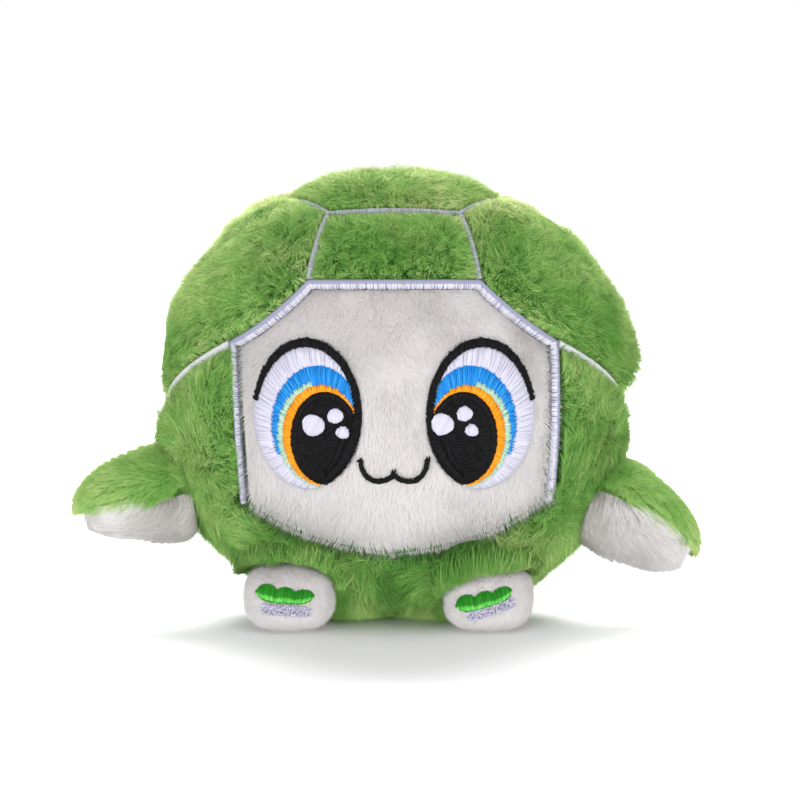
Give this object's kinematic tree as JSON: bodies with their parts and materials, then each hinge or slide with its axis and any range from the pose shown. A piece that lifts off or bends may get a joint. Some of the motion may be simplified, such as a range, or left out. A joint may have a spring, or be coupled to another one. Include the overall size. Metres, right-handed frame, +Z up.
{
  "type": "plush turtle",
  "caption": "Small ball-shaped plush turtle with a scuted shell, an embroidered face, feet, and flippers that flap on their sewn roots",
  "frame": {"origin": "on the floor, under the middle of the turtle's box", "axes": "+Z up, the face looks along -Y, +X to the right as seen from the front"},
  "size_m": [0.1194, 0.0816, 0.0852],
  "materials": {
    "green_plush": "long pile plush, green",
    "white_plush": "short pile plush, warm white",
    "foam": "soft open-cell foam",
    "stuffing": "polyester fibre filling",
    "seam_thread": "satin stitch, pale lavender",
    "rim_thread": "satin stitch, white",
    "black_thread": "embroidery thread, black",
    "white_thread": "embroidery thread, white",
    "blue_thread": "embroidery thread, sky blue",
    "mint_thread": "embroidery thread, pale mint",
    "orange_thread": "embroidery thread, orange",
    "green_thread": "embroidery thread, green",
    "glitter_thread": "glittering metallic thread, pale lavender"
  },
  "bodies": {
    "body": {"foam_core": "foam", "face_panel": "white_plush", "scute_top": "green_plush", "scute_front": "green_plush", "scute_rear": "green_plush", "scute_front_left": "green_plush", "scute_rear_left": "green_plush", "scute_front_right": "green_plush", "scute_rear_right": "green_plush", "hexagon_stitch": "seam_thread", "fore_scute_stitch_left": "seam_thread", "side_scute_stitch_left": "seam_thread", "aft_scute_stitch_left": "seam_thread", "fore_scute_stitch_right": "seam_thread", "side_scute_stitch_right": "seam_thread", "aft_scute_stitch_right": "seam_thread", "face_border_stitch": "seam_thread", "rim_stitch": "rim_thread", "mouth_stitch": "black_thread", "body_panel_left": "green_plush", "iris_orange_left": "orange_thread", "iris_mint_left": "mint_thread", "iris_blue_left": "blue_thread", "eye_white_left": "white_thread", "eye_outline_left": "black_thread", "pupil_left": "black_thread", "glint_large_left": "white_thread", "glint_upper_left": "white_thread", "glint_small_left": "white_thread", "foot_cover_left": "white_plush", "foot_stuffing_left": "stuffing", "toe_stitch_left": "green_thread", "sole_stitch_left": "glitter_thread", "body_panel_right": "green_plush", "iris_orange_right": "orange_thread", "iris_mint_right": "mint_thread", "iris_blue_right": "blue_thread", "eye_white_right": "white_thread", "eye_outline_right": "black_thread", "pupil_right": "black_thread", "glint_large_right": "white_thread", "glint_upper_right": "white_thread", "glint_small_right": "white_thread", "foot_cover_right": "white_plush", "foot_stuffing_right": "stuffing", "toe_stitch_right": "green_thread", "sole_stitch_right": "glitter_thread"},
    "flipper_left": {"flipper_top_left": "green_plush", "flipper_under_left": "white_plush", "flipper_stuffing_left": "stuffing"},
    "flipper_right": {"flipper_top_right": "green_plush", "flipper_under_right": "white_plush", "flipper_stuffing_right": "stuffing"}
  },
  "joints": [
    {"name": "flipper_left_flap", "type": "hinge", "parent": "body", "child": "flipper_left", "pos_m": [-0.04273, -0.00859, 0.02336], "axis": [0, -1, 0], "range_deg": [-22, 37], "stiffness_Nm_per_rad": 0.01},
    {"name": "flipper_right_flap", "type": "hinge", "parent": "body", "child": "flipper_right", "pos_m": [0.04313, -0.00859, 0.02129], "axis": [0, 1, 0], "range_deg": [-41, 20], "stiffness_Nm_per_rad": 0.01}
  ]
}
